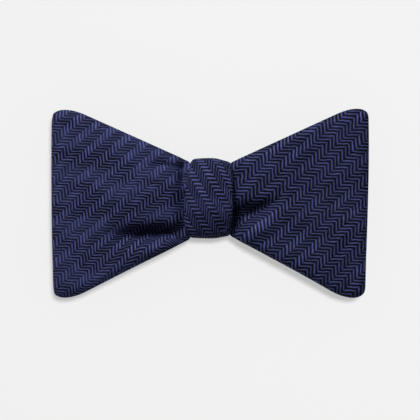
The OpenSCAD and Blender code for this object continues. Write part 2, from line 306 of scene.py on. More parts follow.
@dataclass(frozen=True)
class HerringboneSilk:
    """Bold herringbone silk: columns of ribs whose slant changes from one leg to the next.

    A column has two legs. Lengths are in millimetres and angles in degrees. A rib's angle is
    measured from the column, for the first leg and for the second.
    """

    name: str
    column_angle: float
    leg: float
    rib_pitch: float
    rib_angles: tuple[float, float]
    rib: Colour = (0.0312, 0.0366, 0.1010)
    gap: Colour = (0.0008, 0.0008, 0.0042)
    softness: float = 0.12
    relief: float = 0.16
    wander: float = 0.45
    unevenness: float = 0.45
    seam_width: float = 0.32
    seam_depth: float = 0.6
    sheen: Colour = (0.55, 0.62, 0.95)

    def build(self) -> bpy.types.Material:
        """The silk as a material that reads the flat cloth's coordinates, in millimetres."""
        nodes = Nodes(bpy.data.materials.new(self.name))
        flat = nodes.add("ShaderNodeUVMap", {"uv_map": "Weave"}).outputs[0]
        along, across = self._turned(*self._wandering(nodes, flat))
        column = (across / (2 * self.leg)).floor()
        within = across - column * (2 * self.leg)
        ribs, lot = self._ribs(nodes, along, column, within)
        seam = 1.0 - within.least((within - self.leg).size()).least(
            2 * self.leg - within).step(0.0, self.seam_width)
        fibres = self._noise(nodes, flat, 2.6, 3.0, 0.7)
        patches = self._noise(nodes, flat, 0.45, 3.0)
        raised = ribs * (1.0 - seam * self.seam_depth)
        blurred = self.softness - self._bold(nodes, flat) * self.softness
        body = nodes.between(self.gap, self.rib, (raised + blurred).least(1.0))
        # The tone's last factor is painted sheen: one leg of each column is drawn lighter than the
        # other.
        tone = (fibres * 0.6 + 0.70) * (patches * 0.7 + 0.65) * (lot * 0.36 + 0.82) * (
            1.0 + self._painted_leg_sheen(nodes, flat, within))
        bump = nodes.add("ShaderNodeBump", None, {
            "Strength": 1.0, "Height": raised + fibres * 0.22, "Distance": self.relief * MM})
        return nodes.finish({"Base Color": nodes.shade(body, tone),
                             "Roughness": 0.78 - raised * 0.32,
                             "Normal": bump.outputs[0],
                             "Specular IOR Level": 0.05,
                             "Sheen Weight": 0.02, "Sheen Roughness": 0.35,
                             "Sheen Tint": (*self.sheen, 1.0)})

    @staticmethod
    def _noise(nodes: Nodes, at: bpy.types.NodeSocket, scale: float, detail: float = 1.0,
               roughness: float = 0.5) -> Value:
        """Noise over the flat cloth.

        Args:
            nodes: The material's nodes.
            at: The place on the flat cloth.
            scale: How many waves there are to a millimetre.
            detail: How many finer waves are added.
            roughness: How strong those are.

        Returns:
            The noise, from 0 to 1.
        """
        return nodes.value("ShaderNodeTexNoise", {"noise_dimensions": "2D"}, {
            "Vector": at, "Scale": scale, "Detail": detail, "Roughness": roughness})

    def _wandering(self, nodes: Nodes, flat: bpy.types.NodeSocket) -> tuple[Value, Value]:
        """The flat cloth's coordinates, with slow bends and small uneven steps in the weave."""
        wave = nodes.add("ShaderNodeTexNoise", {"noise_dimensions": "2D"},
                         {"Vector": flat, "Scale": 0.09, "Detail": 2.0})
        drift = nodes.add("ShaderNodeSeparateColor", None, {0: wave.outputs[1]}).outputs
        shake = (self._noise(nodes, flat, 0.55) - 0.5) * self.unevenness
        place = nodes.add("ShaderNodeSeparateXYZ", None, {0: flat}).outputs
        bent = [Value(nodes, place[axis]) + (Value(nodes, drift[axis]) - 0.5) * (2 * self.wander)
                for axis in range(2)]
        return bent[0] + shake, bent[1] - shake

    def _bold(self, nodes: Nodes, flat: bpy.types.NodeSocket) -> Value:
        """Long streaks along the columns, 1 where the ribs stand out and 0 where they blur."""
        streaks = nodes.add("ShaderNodeMapping", None, {
            "Vector": flat, "Rotation": (0, 0, -math.radians(self.column_angle)),
            "Scale": (0.045, 0.11, 1.0)}).outputs[0]
        return self._noise(nodes, streaks, 1.0, 2.0).step(0.36, 0.6)

    def _painted_leg_sheen(self, nodes: Nodes, flat: bpy.types.NodeSocket, within: Value) -> Value:
        """Painted sheen: how much lighter the second leg is than the first, as if the light caught
        its floats more, which changes over the cloth.
        """
        # Mask of where the painted sheen lightens the second leg and where it lightens the first.
        lit_leg_mask = self._noise(nodes, flat, 0.035).step(0.38, 0.62)
        return (within.over(self.leg) * 2.0 - 1.0) * (lit_leg_mask * 0.42 - 0.13)

    def _turned(self, u: Value, v: Value) -> tuple[Value, Value]:
        """The coordinates along and across the columns."""
        turn = math.radians(self.column_angle)
        return (u * math.cos(turn) + v * math.sin(turn),
                v * math.cos(turn) - u * math.sin(turn))

    def _ribs(self, nodes: Nodes, along: Value, column: Value, within: Value
              ) -> tuple[Value, Value]:
        """Lays the ribs.

        Args:
            nodes: The material's nodes.
            along: Distance along the columns.
            column: The number of the column.
            within: Distance across the column.

        Returns:
            How raised the cloth is, and a random share for each leg of each rib.
        """
        first, second = (1 / math.tan(math.radians(angle)) for angle in self.rib_angles)
        slant = (column * (self.leg * (first - second)) + within.least(self.leg) * first
                 - (within - self.leg).most(0.0) * second)
        count = (along + slant) / self.rib_pitch
        second_leg = within.over(self.leg)
        crest = 1.0 - (count.fraction() * 2.0 - 1.0).size()
        spot = nodes.add("ShaderNodeCombineXYZ", None,
                         {0: count.floor(), 1: column * 2.0 + second_leg})
        lot = nodes.value("ShaderNodeTexWhiteNoise", {"noise_dimensions": "2D"},
                          {"Vector": spot.outputs[0]})
        return crest.step(0.28, 0.92), lot


@dataclass(frozen=True)
class Canvas:
    """Plain woven interlining."""

    name: str = "interlining canvas"
    thread: float = 0.45
    light: Colour = (0.72, 0.69, 0.60)
    dark: Colour = (0.48, 0.45, 0.38)

    def build(self) -> bpy.types.Material:
        """The canvas as a material on Object coordinates."""
        nodes = Nodes(bpy.data.materials.new(self.name))
        place = nodes.add("ShaderNodeTexCoord").outputs["Object"]
        axes = nodes.add("ShaderNodeSeparateXYZ", None, {0: place}).outputs
        turn = 2 * math.pi / (self.thread * MM)
        weave = (Value(nodes, axes[0]) * turn).sine() * (Value(nodes, axes[1]) * turn).sine()
        height = weave * 0.5 + 0.5
        bump = nodes.add("ShaderNodeBump", None, {"Height": height, "Distance": 0.1 * MM})
        return nodes.finish({"Base Color": nodes.between(self.dark, self.light, height),
                             "Roughness": 0.9 - height * 0.1, "Normal": bump.outputs[0]})


@dataclass(frozen=True)
class Plate:
    """Nickel plate, polished, with fine scratches and a little dulling."""

    name: str = "nickel plate"
    bright: Colour = (0.74, 0.73, 0.70)
    dull: Colour = (0.52, 0.51, 0.49)

    def build(self) -> bpy.types.Material:
        """The plate as a material on Object coordinates."""
        nodes = Nodes(bpy.data.materials.new(self.name))
        place = nodes.add("ShaderNodeTexCoord").outputs["Object"]
        cloud = nodes.value("ShaderNodeTexNoise", None,
                            {"Vector": place, "Scale": 320.0, "Detail": 4.0})
        stretched = nodes.add("ShaderNodeMapping", None,
                              {"Vector": place, "Scale": (600.0, 9000.0, 9000.0)}).outputs[0]
        scratch = nodes.value("ShaderNodeTexNoise", None,
                              {"Vector": stretched, "Scale": 1.0, "Detail": 2.0})
        worn = cloud.step(0.45, 0.7)
        bump = nodes.add("ShaderNodeBump", None,
                         {"Height": scratch, "Strength": 0.35, "Distance": 0.01 * MM})
        return nodes.finish({"Base Color": nodes.between(self.bright, self.dull, worn),
                             "Metallic": 1.0, "Roughness": worn * 0.16 + scratch * 0.08 + 0.16,
                             "Normal": bump.outputs[0]})


@dataclass(frozen=True)
class Thread:
    """Two-ply sewing thread, twisted."""

    name: str = "sewing thread"
    lay: float = 0.5
    light: Colour = (0.035, 0.04, 0.11)
    dark: Colour = (0.008, 0.009, 0.028)

    def build(self) -> bpy.types.Material:
        """The thread as a material on the piece's own UV map, in millimetres."""
        nodes = Nodes(bpy.data.materials.new(self.name))
        flat = nodes.add("ShaderNodeUVMap", {"uv_map": "Weave"}).outputs[0]
        axes = nodes.add("ShaderNodeSeparateXYZ", None, {0: flat}).outputs
        twist = ((Value(nodes, axes[0]) + Value(nodes, axes[1])) * (2 * math.pi / self.lay)).sine()
        ply = twist * 0.5 + 0.5
        bump = nodes.add("ShaderNodeBump", None, {"Height": ply, "Distance": 0.05 * MM})
        return nodes.finish({"Base Color": nodes.between(self.dark, self.light, ply),
                             "Roughness": 0.7 - ply * 0.15, "Normal": bump.outputs[0]})


class Finish(Enum):
    """The finishes that the bow's pieces are dressed in."""

    LEFT_SILK = HerringboneSilk("left wing silk", 41.5, 2.9, 1.56, (43.0, 52.0), softness=0.22)
    RIGHT_SILK = HerringboneSilk("right wing silk", 42.0, 3.1, 1.76, (43.0, 49.0), softness=0.06)
    KNOT_SILK = HerringboneSilk("knot silk", -61.0, 2.7, 1.72, (31.0, 58.0))
    STRAP_SILK = HerringboneSilk("strap silk", 41.5, 3.0, 1.65, (43.0, 51.0))
    CANVAS = Canvas()
    PLATE = Plate()
    THREAD = Thread()

    def material(self) -> bpy.types.Material:
        """The finish's material, built the first time that it is asked for."""
        found = bpy.data.materials.get(self.value.name)
        return found or self.value.build()


# ---------------------------------------------------------------- cloth


@dataclass(frozen=True)
class Crease:
    """A valley along a line in a wing's plan. With a negative depth it is a ridge."""

    start: Plan
    end: Plan
    depth: float
    widths: tuple[float, float]
    fades: tuple[float, float] = (0.15, 0.3)
    lean: float = 0.0

    def at(self, d: float, y: float) -> float:
        """How far the cloth is lowered at a place.

        Args:
            d: Distance from the middle of the bow.
            y: Height in the plan.

        Returns:
            The depth there, in millimetres.
        """
        line = Vector(self.end) - Vector(self.start)
        gone = Vector((d, y)) - Vector(self.start)
        share = gone.dot(line) / line.length_squared
        aside = (line.x * gone.y - line.y * gone.x) / line.length
        width = mix(*self.widths, min(1.0, max(0.0, share)))
        steepness = 1 + self.lean * (1 if aside > 0 else -1)
        shape = math.exp(-abs(aside / width * steepness) ** 2.4)
        ends = smooth(0.0, self.fades[0], share) * smooth(0.0, self.fades[1], 1 - share)
        return self.depth * shape * ends


@dataclass(frozen=True)
class Swell:
    """A soft rise of the cloth round a place in a wing's plan."""

    centre: Plan
    radii: Plan
    height: float

    def at(self, d: float, y: float) -> float:
        """How far the cloth is lowered at a place, which is less than nothing on a rise."""
        spread = ((d - self.centre[0]) / self.radii[0]) ** 2
        spread += ((y - self.centre[1]) / self.radii[1]) ** 2
        return -self.height * math.exp(-spread)


@dataclass(frozen=True)
class Outline:
    """A wing's outline in plan: straight edges that spread from the knot to rounded corners.

    Pairs are for the lower edge and the upper one. A corner is rounded over a length along the
    wing and a drop at the tip. The tip's lower corner is drawn in by slant, and the middle of the
    tip's edge stands out by belly. Inside gathered the cloth is squeezed into the knot.
    """

    reach: float
    waist: Plan
    tips: Plan
    corners: tuple[Plan, Plan] = ((13.0, 7.5), (13.0, 7.5))
    slant: float = 0.0
    belly: float = 0.4
    root: float = 10.6
    gathered: float = 7.6

    def edge(self, d: float, upper: bool) -> float:
        """The height of an edge at a distance from the middle, without its sign."""
        waist, tip = (abs(pair[1 if upper else 0]) for pair in (self.waist, self.tips))
        length, drop = self.corners[1 if upper else 0]
        slope = (tip - waist) / (self.reach - self.root)
        share = min(1.0, max(0.0, (d - self.reach + length) / length))
        rounding = drop * (1 - math.sqrt(1 - share * share))
        squeezed = 2.2 * max(0.0, self.gathered - d)
        return waist + slope * (d - self.root) - rounding - squeezed

    def place(self, d: float, share: float) -> tuple[float, float, float]:
        """A place in plan.

        Args:
            d: Distance from the middle of the bow.
            share: How far up the wing it is, from 0 to 1.

        Returns:
            The place with the tip's slant, and its distance from the nearer long edge.
        """
        low, high = -self.edge(d, False), self.edge(d, True)
        y = mix(low, high, share)
        drawn_in = self.slant * (1 - smooth(low, high, y)) - self.belly * 4 * share * (1 - share)
        drawn_in *= smooth(0.5, 1.0, d / self.reach)
        return d - drawn_in, y, min(y - low, high - y)


@dataclass(frozen=True)
class Sheet:
    """A grid of cloth to be made: how it lies, how it is cut and how thick it is."""

    name: str
    steps: tuple[int, int]
    place: Callable[[float, float], tuple[Vector, Plan, float]]
    thickness: float
    smoothing: int = 1
    thin_edge: float = 0.5
    tube_round: Plan | None = None
    draped: float = 0.0

    def build(self) -> bpy.types.Object:
        """The cloth as an object: a grid that is moved into place and given its thickness.

        Returns:
            The new object, with its flat coordinates in the UV map called Weave.
        """
        bm = bmesh.new()
        weave = bm.loops.layers.uv.new("Weave")
        bmesh.ops.create_grid(bm, x_segments=self.steps[0], y_segments=self.steps[1], size=0.5)
        fullness = bm.verts.layers.deform.verify()
        flat: dict[bmesh.types.BMVert, Plan] = {}
        lines: dict[float, list[bmesh.types.BMVert]] = {}
        for vert in bm.verts:
            lines.setdefault(round(vert.co.x * self.steps[0], 1), []).append(vert)
            spot, flat[vert], full = self.place(vert.co.x + 0.5, vert.co.y + 0.5)
            vert.co = spot * MM
            vert[fullness][0] = full
        if self.draped:
            for line in lines.values():
                flat.update(self._measured(line, flat))
        for face in bm.faces:
            face.smooth = True
            for loop in face.loops:
                loop[weave].uv = flat[loop.vert]
        if self.tube_round:
            bmesh.ops.remove_doubles(bm, verts=bm.verts[:], dist=0.004 * MM)
            face_outwards(bm, self.tube_round)
        piece = new_piece(self.name, bm)
        piece.vertex_groups.new(name="full")
        wall = piece.modifiers.new("wall", "SOLIDIFY")
        wall.thickness = self.thickness * MM
        wall.offset = -1.0 if self.tube_round else 0.0
        wall.use_quality_normals = True
        wall.vertex_group = "full"
        wall.thickness_vertex_group = self.thin_edge
        if self.smoothing:
            rounding = piece.modifiers.new("rounding", "SUBSURF")
            rounding.levels = rounding.render_levels = self.smoothing
        return piece

    def _measured(self, line: list[bmesh.types.BMVert],
                  flat: dict[bmesh.types.BMVert, Plan]) -> dict[bmesh.types.BMVert, Plan]:
        """The flat coordinates of a line of points up the cloth, by length over the surface.

        Args:
            line: The points, from the lower edge up. The middle one keeps its coordinates.
            flat: The flat coordinates of each point, by height in the plan.

        Returns:
            The flat coordinates of the line's points.
        """
        reached = [0.0]
        for before, after in zip(line, line[1:]):
            reached.append(reached[-1] + (after.co - before.co).length / MM)
        middle = len(line) // 2
        start = flat[line[middle]][1] - reached[middle]
        return {vert: (flat[vert][0], mix(flat[vert][1], start + gone, self.draped))
                for vert, gone in zip(line, reached)}


def face_outwards(bm: bmesh.types.BMesh, middle: Plan) -> None:
    """Turns a tube's faces away from the line along X that runs through middle, in y and z."""
    outwards = sum(face.normal.dot(face.calc_center_median() - Vector((0, *middle)) * MM)
                   for face in bm.faces)
    if outwards < 0:
        bmesh.ops.reverse_faces(bm, faces=bm.faces[:])


def new_piece(name: str, bm: bmesh.types.BMesh) -> bpy.types.Object:
    """Makes an object of a bmesh, and frees it."""
    mesh = bpy.data.meshes.new(name)
    bm.to_mesh(mesh)
    bm.free()
    piece = bpy.data.objects.new(name, mesh)
    bpy.context.scene.collection.objects.link(piece)
    return piece


def dress(piece: bpy.types.Object, finish: Finish, slot: str) -> bpy.types.Object:
    """Gives a piece its material and logs its faces and finish."""
    piece.data.materials.clear()
    piece.data.materials.append(finish.material())
    LOG.info("%s: %d faces, %s", piece.name, len(piece.data.polygons), finish.value.name)
    return piece


# ---------------------------------------------------------------- the CAD's places


def node_box(node: str) -> tuple[Vector, Vector]:
    """A CAD node's lowest and highest corners, in millimetres."""
    low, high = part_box(node)
    return low / MM, high / MM


def middle_of(node: str) -> Vector:
    """The middle of a CAD node's box, in millimetres."""
    low, high = node_box(node)
    return (low + high) / 2


@dataclass(frozen=True)
class Heights:
    """Heights of the pieces above the surface, taken from the CAD nodes."""

    layer: float = 1.4
    strap: float = 1.0
    knot_back: float = node_box("knot_wrap")[0].z
    knot_front: float = node_box("knot_wrap")[1].z
    run_1: float = middle_of("strap_run_1").z
    run_2: float = middle_of("strap_run_2").z
    run_3: float = middle_of("strap_run_3").z
    run_4: float = middle_of("strap_run_4").z
    rear: float = node_box("right_loop")[0].z + 0.7

    @property
    def hinge(self) -> float:
        """The height of the line that the wings bend about."""
        return self.knot_front - 3.0

    @property
    def front_root(self) -> float:
        """The height of the front layers beside the knot."""
        return self.hinge - self.layer / 2 + 0.2


HEIGHTS = Heights()
REACH = abs(node_box("left_loop")[0].x)
REAR_REACH = abs(node_box("left_tail")[0].x)
WING_START = abs(node_box("left_loop")[1].x)
KNOT_MIDDLE = middle_of("knot_wrap")
CLOTH_START = 6.4
FOLD_RADIUS = 2.0


# ---------------------------------------------------------------- wings


class Side(Enum):
    """Which side of the knot a wing is on."""

    LEFT = -1
    RIGHT = 1


@dataclass
class Layer:
    """One layer of a wing: a flat blade end, or a blade folded back on itself as a loop.

    Nodes are the silk's and the interlining's. Follow says how much of the reliefs the cloth takes
    up, and dive how far it goes down beside the knot: for the front and for a loop's back.
    """

    name: str
    nodes: tuple[str, ...]
    body: str
    holder: str
    side: Side
    finish: Finish
    outline: Outline
    profile: Profile
    reliefs: Sequence[Crease | Swell]
    follow: tuple[float, float]
    dive: tuple[float, float]
    looped: bool
    steps: tuple[int, int]
    seed: float = 0.0
    thickness: float = 1.4
    curl: float = 0.9
    curl_width: float = 3.4
    waviness: float = 0.35
    draped: float = 0.75
    dive_over: tuple[float, float] = (8.6, 14.5)
    thin_within: float = 2.6
    interlining_end: float = 0.985
    interlining_inset: float = 0.9

    def place(self, along: float, up: float, inset: float = 0.0) -> tuple[Vector, Plan, float]:
        """Where a point of the layer is.

        Args:
            along: Its share of the way along the cloth from the knot.
            up: Its share of the way up the wing.
            inset: How far in from the long edges the cloth ends.

        Returns:
            The place, the flat cloth's coordinates and how full the layer is there.
        """
        gone = self.profile.length * self._spaced(along)
        spot = self.profile.at(gone)
        back = smooth(0.44, 0.56, gone / self.profile.length) if self.looped else 0.0
        d, y, edge = self.outline.place(spot.x, up)
        y = y * (1 - inset / max(abs(y), 12.0))
        if not self.looped:
            edge = min(edge, self.outline.reach - spot.x)
        lowered = sum(relief.at(d, y) for relief in self.reliefs) * mix(*self.follow, back)
        lowered += mix(*self.dive, back) * (1 - smooth(*self.dive_over, d))
        lowered += self.curl * (1 - smooth(0.0, self.curl_width, edge)) * (1 - back)
        wave = noise.noise(Vector((d * 0.07, y * 0.07, self.seed + back)))
        lowered += self.waviness * wave * smooth(9.0, 20.0, d)
        place = Vector((d * self.side.value, y, spot.y - lowered))
        flat = ((gone + CLOTH_START) * self.side.value, y)
        return place, flat, smooth(0.0, self.thin_within, edge)

    def _spaced(self, along: float) -> float:
        """The share of the cloth's length at a grid line, closer together at a flat tip."""
        if self.looped:
            return along
        return mix(along, math.sin(along * math.pi / 2), 0.55)

    def build(self) -> list[bpy.types.Object]:
        """The layer's silk and its interlining, dressed and with their placement baked into their
        meshes.
        """
        silk = Sheet(self.name, self.steps, self.place, self.thickness,
                     draped=self.draped).build()
        dress(silk, self.finish, "silk")
        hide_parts(self.nodes[0])
        canvas = Sheet(self.name + "_interlining", self.steps,
                       lambda along, up: self.place(along * self.interlining_end, up,
                                                    self.interlining_inset),
                       self.thickness * 0.3, 0, 0.9).build()
        dress(canvas, Finish.CANVAS, "interlining")
        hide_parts(self.nodes[1])
        for piece in (silk, canvas):
            self._join(piece)
        return [silk, canvas]

    def _join(self, piece: bpy.types.Object) -> None:
        """Bakes a piece's placement into its mesh."""
        edge = self.side.value * WING_START * MM
        edge * 0.75
        edge * 1.6
        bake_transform(piece)


@dataclass
class Wings:
    """The four layers of the two wings."""

    left_front: Outline = field(default_factory=lambda: Outline(
        REACH, (-15.2, 17.0), (-39.9, 39.2), slant=0.6))
    right_front: Outline = field(default_factory=lambda: Outline(
        REACH, (-14.0, 16.6), (-40.6, 39.3), ((14.0, 8.8), (12.0, 6.8)), 1.2))
    left_valley: tuple[Crease | Swell, ...] = (
        Crease((6.0, -9.8), (42.5, -13.4), 5.5, (2.6, 3.6), (0.42, 0.5), 0.12),
        Crease((10.5, -14.6), (19.0, -9.4), 1.3, (0.8, 1.1), (0.2, 0.4)),
        Crease((8.0, 13.4), (26.0, 14.6), 1.1, (1.3, 1.9), (0.2, 0.5)),
        Crease((10.0, -5.6), (27.0, -6.2), -1.0, (3.4, 4.0), (0.3, 0.6)),
        Crease((11.0, -15.4), (30.0, -19.0), -0.7, (2.0, 3.2), (0.2, 0.6)),
        Crease((9.6, 19.0), (11.2, 5.0), 2.2, (1.6, 1.4), (0.1, 0.4)),
        Swell((27.0, 4.0), (15.0, 9.0), 1.5),
        Swell((60.0, -16.0), (6.0, 16.0), 1.2),
    )
    right_valley: tuple[Crease | Swell, ...] = (
        Crease((5.0, -8.8), (29.0, 1.8), 5.6, (5.2, 1.7), (0.24, 0.6), -0.1),
        Crease((9.0, -13.0), (25.0, -8.0), -1.1, (2.2, 3.6), (0.25, 0.6)),
        Crease((22.0, -9.2), (46.0, -12.0), 0.7, (3.4, 6.0), (0.3, 0.6)),
        Crease((47.0, -16.0), (59.0, -27.0), 0.5, (3.0, 5.0), (0.3, 0.4)),
        Swell((26.0, 13.0), (15.0, 8.0), 0.8),
    )

    def loop(self, root: float, back_root: float, rise: float, fold: float,
             reach: float) -> Profile:
        """The curve of a loop: out to the tip, round the fold and back to the knot."""
        d = reach - FOLD_RADIUS - HEIGHTS.layer / 2
        out = bezier((WING_START, root), (WING_START + reach * 0.28, root + rise),
                     (reach * 0.75, fold + FOLD_RADIUS + rise * 0.7), (d, fold + FOLD_RADIUS))
        back = bezier((d, fold - FOLD_RADIUS), (reach * 0.75, fold - FOLD_RADIUS),
                      (WING_START + reach * 0.28, fold - FOLD_RADIUS + 0.4),
                      (WING_START, back_root))
        turn = arc((d, fold), FOLD_RADIUS, 90, -90)
        return Profile([(CLOTH_START, root), *out, *turn, *back, (CLOTH_START, back_root)])

    def flat_end(self, root: float, rise: float, tip: float, reach: float) -> Profile:
        """The curve of a flat blade end."""
        out = bezier((WING_START, root), (WING_START + reach * 0.28, root + rise),
                     (reach * 0.75, tip + rise * 0.7), (reach, tip))
        return Profile([(CLOTH_START, root), *out])

    def rear(self, front: Outline) -> Outline:
        """The outline of a rear layer, which stays inside the front one's."""
        inset = REACH - REAR_REACH
        return Outline(REAR_REACH, tuple(w * 0.93 for w in front.waist),
                       tuple(math.copysign(abs(t) - inset * 1.3, t) for t in front.tips),
                       front.corners, front.slant)

    def layers(self) -> list[Layer]:
        """The four layers, front and rear on each side."""
        root, rear = HEIGHTS.front_root, HEIGHTS.rear
        layer = HEIGHTS.layer
        left = dict(side=Side.LEFT, finish=Finish.LEFT_SILK, reliefs=self.left_valley)
        right = dict(side=Side.RIGHT, finish=Finish.RIGHT_SILK, reliefs=self.right_valley)
        return [
            Layer("left_loop_silk", ("left_loop", "left_loop_interlining"), "left_front_wing",
                  "left_rear_wing", outline=self.left_front, follow=(1.0, 0.85),
                  dive=(2.6, 1.6), looped=True, steps=(150, 70), seed=3.0,
                  profile=self.loop(root, root - 2.9, 2.2, rear + layer + 1 + FOLD_RADIUS,
                                    REACH), **left),
            Layer("left_tail_silk", ("left_tail", "left_tail_interlining"), "left_rear_wing",
                  "knot", outline=self.rear(self.left_front), follow=(0.7, 0.7),
                  dive=(0.2, 0.2), looped=False, steps=(90, 70), seed=7.0, waviness=0.15,
                  curl=0.0, profile=self.flat_end(rear + 2, -0.9, rear, REAR_REACH), **left),
            Layer("right_tail_silk", ("right_tail", "right_tail_interlining"),
                  "right_front_wing", "right_rear_wing", outline=self.right_front,
                  follow=(1.0, 1.0), dive=(2.6, 2.6), looped=False, steps=(100, 84), seed=11.0,
                  draped=0.3,
                  profile=self.flat_end(root, 1.6, rear + 6.4, REACH), **right),
            Layer("right_loop_silk", ("right_loop", "right_loop_interlining"),
                  "right_rear_wing", "knot", outline=self.rear(self.right_front),
                  follow=(0.72, 0.2), dive=(1.2, 0.9), looped=True, steps=(140, 56), seed=5.0,
                  waviness=0.15, curl=0.3, profile=self.loop(
                      rear + 4.7, rear + 1.8, 0.8, rear + FOLD_RADIUS, REAR_REACH), **right),
        ]

    def build(self) -> None:
        """Builds every layer."""
        for layer in self.layers():
            silk, canvas = layer.build()
            flat = (layer.profile.length * MM, (layer.outline.tips[1] - layer.outline.tips[0]) * MM)


# ---------------------------------------------------------------- knot


def rounded_section(turn: float, half_y: float, half_z: float, squareness: float) -> Plan:
    """A point of a rounded box seen along X, which starts below and goes round by -Y.

    Args:
        turn: The point's direction, in radians.
        half_y: Half the section's size along Y.
        half_z: Half its size along Z.
        squareness: 2 for an ellipse, and more for a shape nearer to a box.

    Returns:
        Its y and z from the section's middle.
    """
    sine, cosine = math.sin(turn), math.cos(turn)
    radial = (abs(sine) ** squareness + abs(cosine) ** squareness) ** (-1 / squareness)
    return -half_y * sine * radial, -half_z * cosine * radial


@dataclass
class Knot:
    """The band of silk that is wrapped round the middle, and the gathered blades inside it."""

    depth: float = HEIGHTS.knot_front - HEIGHTS.knot_back
    height: float = 30.5
    half_width: float = 9.3
    edge_radius: float = 1.7
    tuck: float = 6.4
    thickness: float = 0.5
    squareness: Plan = (4.2, 2.6)
    arched: float = 0.4
    right_rise: Plan = (0.045, 0.075)
    left_side: tuple[float, float, float] = (9.9, 0.0072, -3.3)
    right_side: tuple[float, float, float] = (8.9, 0.0042, 2.5)
    left_tuck: tuple[float, float] = (-9.5, -14.0)
    interlining_inset: float = 6.2
    interlining_depth: float = 0.62
    pleats: int = 14
    pleat_depth: float = 0.45
    gathered_to: float = 0.72
    steps: tuple[int, int] = (150, 56)
    folds: tuple[Crease, ...] = (
        Crease((26.4, 18.0), (27.4, -3.0), 0.5, (0.6, 0.9), (0.1, 0.6)),
        Crease((14.0, 17.0), (18.5, 2.0), 0.4, (1.4, 2.2), (0.1, 0.7)),
        Crease((22.0, -4.0), (31.0, -15.0), 0.8, (3.4, 5.0), (0.4, 0.5)),
        Crease((12.0, -4.0), (19.0, -11.0), 0.4, (2.0, 2.6), (0.4, 0.5)),
    )

    def __post_init__(self) -> None:
        """Works out the curve across the band and the length round it."""
        half, radius = self.half_width, self.edge_radius
        right = [(x, radius - z) for x, z in arc((half - radius, 0), radius, 90, -15, 10)]
        right.append((half - radius * 0.6, self.tuck))
        self.across = Profile([*((-x, inset) for x, inset in reversed(right)), *right])
        self.section = Profile(self._round(step / self.steps[0], 0.0)
                               for step in range(self.steps[0] + 1))
        self.girth = self.section.length
        self.middle = (KNOT_MIDDLE.y, KNOT_MIDDLE.z)

    def _round(self, around: float, lowered: float) -> Plan:
        """A point of the section: y and z from its middle, for a share of the way round."""
        turn = 2 * math.pi * around
        return rounded_section(turn, self.height / 2 - lowered, self.depth / 2 - lowered,
                               mix(*self.squareness, self._front(around)))

    @staticmethod
    def _front(around: float) -> float:
        """1 on the front of the band and 0 on its back."""
        return smooth(-0.3, 0.5, -math.cos(2 * math.pi * around))

    def narrowed(self, y: float, side: float) -> float:
        """How wide the band is at a height, as a share of its nominal width.

        Args:
            y: The height in the plan.
            side: Less than nothing on the left side, and otherwise the right one.

        Returns:
            The share, from the side's greatest half width, how it narrows and where it is widest.
        """
        greatest, narrowing, widest = self.left_side if side < 0 else self.right_side
        half = greatest - narrowing * (y - widest) ** 2
        if side < 0:
            half -= smooth(*self.left_tuck, y)
        return half / self.half_width

    def place(self, around: float, across: float, inset: float = 0.0,
              inner: float = 0.0) -> tuple[Vector, Plan, float]:
        """Where a point of the band is.

        Args:
            around: Its share of the way round, from the middle of the back.
            across: Its share of the way across.
            inset: How far the cloth ends from the band's edges.
            inner: How far inside the band's outer face it is.

        Returns:
            The place, the flat cloth's coordinates and how full the cloth is there.
        """
        aside = mix(inset, self.across.length - inset, across)
        spot = self.across.at(aside)
        front = self._front(around)
        arch = self.arched * (spot.x / self.half_width) ** 2
        y, z = self._round(around, spot.y + inner + arch)
        y *= 1 - self.right_rise[0 if y < 0 else 1] * smooth(1.0, self.half_width, spot.x)
        y += self.middle[0]
        width = self.narrowed(y, spot.x)
        x = spot.x * width
        ripple = 0.16 * noise.noise(Vector((x * 0.16, around * 16, 2.0)))
        z += self.middle[1] - (sum(fold.at(x + 20.0, y) for fold in self.folds) + ripple) * front
        wound = self.section.reached[round(around * self.steps[0])]
        return (Vector((x, y, z)),
                ((aside - self.across.length / 2) * width, wound - self.girth / 2), 1.0)

    def build(self) -> None:
        """Builds the wrapped band, its interlining and the gathers inside it."""
        silk = Sheet("knot_silk", self.steps, self.place, self.thickness, 1, 1.0,
                     self.middle).build()
        dress(silk, Finish.KNOT_SILK, "silk")
        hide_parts("knot_wrap")
        canvas = Sheet("knot_interlining", self.steps,
                       lambda around, across: self.place(
                           around, across, self.interlining_inset, self.interlining_depth),
                       0.35, 0, 1.0, self.middle).build()
        dress(canvas, Finish.CANVAS, "interlining")
        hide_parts("knot_wrap_interlining")
        for piece in (silk, canvas):
            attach(piece, "knot")
        for name in ("front_blade_centre", "rear_blade_centre"):
            self._gathers(name)

    def _gathers(self, node: str) -> None:
        """Builds the pleated middle of a blade, where the band squeezes it."""
        low, high = node_box(node)
        half_y, half_z = (high.y - low.y) / 2 - 0.7, (high.z - low.z) / 2 - 0.4
        middle = ((low.y + high.y) / 2, (low.z + high.z) / 2)

        def place(around: float, along: float) -> tuple[Vector, Plan, float]:
            """Where a point of the pleated roll is, from its shares round and along it."""
            turn = 2 * math.pi * around
            pleat = self.pleat_depth * math.cos(turn * self.pleats)
            pleat *= smooth(1.0, 0.1, abs(2 * along - 1) * 0.6)
            y, z = rounded_section(turn, half_y - pleat - 0.4, half_z - pleat, 3.0)
            x = mix(low.x, high.x, along) * self.gathered_to
            return (Vector((x, y + middle[0], z + middle[1])),
                    (x, (0.5 - around) * 4 * (half_y + half_z)), 1.0)

        roll = Sheet(node.replace("blade_centre", "gathers"), (168, 10), place, 0.6, 0, 1.0,
                     middle).build()
        dress(roll, Finish.KNOT_SILK, "silk")
        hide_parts(node)
        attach(roll, "knot")


# ---------------------------------------------------------------- neck strap


